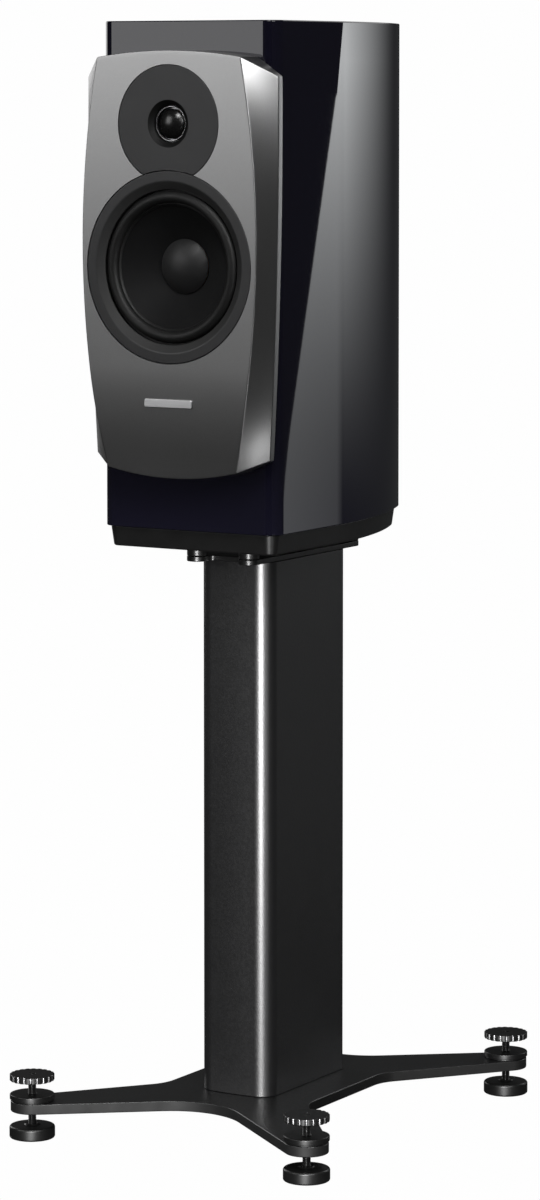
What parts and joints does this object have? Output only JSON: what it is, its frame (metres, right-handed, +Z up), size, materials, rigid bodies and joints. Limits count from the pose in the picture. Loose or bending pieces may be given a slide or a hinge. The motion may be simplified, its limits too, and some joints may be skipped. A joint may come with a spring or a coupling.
{
  "type": "bookshelf loudspeaker on stand",
  "caption": "Bass-reflex loudspeaker with a cone woofer and soft-dome tweeter in a faceted metal front, bolted to a slim column stand with a star base and screw-levelled feet.",
  "frame": {"origin": "on the floor, midway between the four feet", "axes": "+Z up, -Y towards the listener (the baffle's side), +X to the right when looking at the front from -Y"},
  "size_m": [0.3498, 0.4358, 1.068],
  "materials": {
    "midnight_lacquer": "deep midnight-blue high-gloss lacquer over fibreboard",
    "grey_baffle": "satin mid-grey metallic",
    "dark_trim": "satin dark grey",
    "black_coat": "fine-textured satin black powder coat",
    "black_paint": "satin black paint over fibreboard",
    "black_cone": "satin black pressed polymer",
    "black_rubber": "soft black rubber",
    "bright_metal": "bright plated metal",
    "brushed_badge": "fine brushed",
    "plated_steel": "zinc-plated",
    "ferrite": "matt dark ceramic magnet",
    "soft_dome": "coated black silk, glossy",
    "copper": "enamelled copper wire",
    "circuit_board": "green glass-fibre board",
    "black_plastic": "moulded black",
    "fibreboard": "bare fibreboard",
    "grey_felt": "grey wool felt",
    "spider_cloth": "resin-treated corrugated cloth"
  },
  "bodies": {
    "cabinet_and_stand": {"base_plate": "black_coat", "blank_badge": "brushed_badge", "cabinet_brace": "fibreboard", "cabinet_shell": "midnight_lacquer", "column": "black_coat", "crossover_board": "circuit_board", "crossover_capacitor": "black_plastic", "crossover_coil": "copper", "damping_pad": "grey_felt", "foot_bush_front_left": "black_coat", "foot_bush_front_right": "black_coat", "foot_bush_rear_left": "black_coat", "foot_bush_rear_right": "black_coat", "front_baffle": "grey_baffle", "plinth": "black_paint", "port_tube": "black_plastic", "post_stud_left": "bright_metal", "post_stud_right": "bright_metal", "stand_screw_front_left": "plated_steel", "stand_screw_front_right": "plated_steel", "stand_screw_rear_left": "plated_steel", "stand_screw_rear_right": "plated_steel", "stand_top_plate": "black_coat", "terminal_plate": "black_coat", "tie_rod": "plated_steel", "tie_rod_nut": "plated_steel", "tweeter_faceplate": "dark_trim", "tweeter_motor": "plated_steel", "tweeter_rear_chamber": "black_plastic", "tweeter_ring": "bright_metal", "tweeter_wire": "black_rubber", "woofer_basket": "black_coat", "woofer_magnet": "ferrite", "woofer_pole_piece": "plated_steel", "woofer_spider": "spider_cloth", "woofer_surround": "black_rubber", "woofer_top_plate": "plated_steel", "woofer_trim_ring": "dark_trim", "woofer_wire": "black_rubber"},
    "pad_front_left": {"foot_pad_front_left": "black_coat"},
    "screw_front_left": {"foot_spindle_front_left": "black_coat", "foot_wheel_front_left": "black_coat"},
    "pad_front_right": {"foot_pad_front_right": "black_coat"},
    "screw_front_right": {"foot_spindle_front_right": "black_coat", "foot_wheel_front_right": "black_coat"},
    "pad_rear_left": {"foot_pad_rear_left": "black_coat"},
    "screw_rear_left": {"foot_spindle_rear_left": "black_coat", "foot_wheel_rear_left": "black_coat"},
    "pad_rear_right": {"foot_pad_rear_right": "black_coat"},
    "screw_rear_right": {"foot_spindle_rear_right": "black_coat", "foot_wheel_rear_right": "black_coat"},
    "woofer_moving": {"woofer_cone": "black_cone", "woofer_dust_cap": "black_cone", "woofer_voice_coil": "copper"},
    "tweeter_moving": {"tweeter_dome": "soft_dome", "tweeter_voice_coil": "copper"},
    "post_washer_left": {"post_washer_left": "bright_metal"},
    "post_nut_left": {"post_nut_left": "bright_metal"},
    "post_washer_right": {"post_washer_right": "bright_metal"},
    "post_nut_right": {"post_nut_right": "bright_metal"}
  },
  "joints": [
    {"name": "foot_front_left_height", "type": "slide", "parent": "cabinet_and_stand", "child": "pad_front_left", "axis": [0, 0, 1], "range_m": [-0.01, 0.01]},
    {"name": "foot_front_left_wheel", "type": "hinge", "parent": "pad_front_left", "child": "screw_front_left", "pos_m": [-0.153, -0.196, 0.0585], "axis": [0, 0, 1], "range_deg": [-2880, 2880]},
    {"name": "foot_front_right_height", "type": "slide", "parent": "cabinet_and_stand", "child": "pad_front_right", "axis": [0, 0, 1], "range_m": [-0.01, 0.01]},
    {"name": "foot_front_right_wheel", "type": "hinge", "parent": "pad_front_right", "child": "screw_front_right", "pos_m": [0.153, -0.196, 0.0585], "axis": [0, 0, 1], "range_deg": [-2880, 2880]},
    {"name": "foot_rear_left_height", "type": "slide", "parent": "cabinet_and_stand", "child": "pad_rear_left", "axis": [0, 0, 1], "range_m": [-0.01, 0.01]},
    {"name": "foot_rear_left_wheel", "type": "hinge", "parent": "pad_rear_left", "child": "screw_rear_left", "pos_m": [-0.153, 0.196, 0.0585], "axis": [0, 0, 1], "range_deg": [-2880, 2880]},
    {"name": "foot_rear_right_height", "type": "slide", "parent": "cabinet_and_stand", "child": "pad_rear_right", "axis": [0, 0, 1], "range_m": [-0.01, 0.01]},
    {"name": "foot_rear_right_wheel", "type": "hinge", "parent": "pad_rear_right", "child": "screw_rear_right", "pos_m": [0.153, 0.196, 0.0585], "axis": [0, 0, 1], "range_deg": [-2880, 2880]},
    {"name": "woofer_stroke", "type": "slide", "parent": "cabinet_and_stand", "child": "woofer_moving", "axis": [0, -1, 0], "range_m": [-0.006, 0.006], "stiffness_N_per_m": 1200, "deforming": ["woofer_surround", "woofer_spider"]},
    {"name": "tweeter_stroke", "type": "slide", "parent": "cabinet_and_stand", "child": "tweeter_moving", "axis": [0, -1, 0], "range_m": [-0.0005, 0.0005], "stiffness_N_per_m": 40},
    {"name": "post_left_travel", "type": "slide", "parent": "cabinet_and_stand", "child": "post_washer_left", "axis": [0, 1, 0], "range_m": [0, 0.008]},
    {"name": "post_left_turn", "type": "hinge", "parent": "post_washer_left", "child": "post_nut_left", "pos_m": [-0.0165, 0.168, 0.68], "axis": [0, 1, 0], "range_deg": [0, 2880]},
    {"name": "post_right_travel", "type": "slide", "parent": "cabinet_and_stand", "child": "post_washer_right", "axis": [0, 1, 0], "range_m": [0, 0.008]},
    {"name": "post_right_turn", "type": "hinge", "parent": "post_washer_right", "child": "post_nut_right", "pos_m": [0.0165, 0.168, 0.68], "axis": [0, 1, 0], "range_deg": [0, 2880]}
  ],
  "couplings": [
    {"joint": "foot_front_left_wheel", "follows": "foot_front_left_height", "rad_per_m": 5026.5},
    {"joint": "foot_front_right_wheel", "follows": "foot_front_right_height", "rad_per_m": 5026.5},
    {"joint": "foot_rear_left_wheel", "follows": "foot_rear_left_height", "rad_per_m": 5026.5},
    {"joint": "foot_rear_right_wheel", "follows": "foot_rear_right_height", "rad_per_m": 5026.5},
    {"joint": "post_left_turn", "follows": "post_left_travel", "rad_per_m": 6283.1},
    {"joint": "post_right_turn", "follows": "post_right_travel", "rad_per_m": 6283.1}
  ]
}
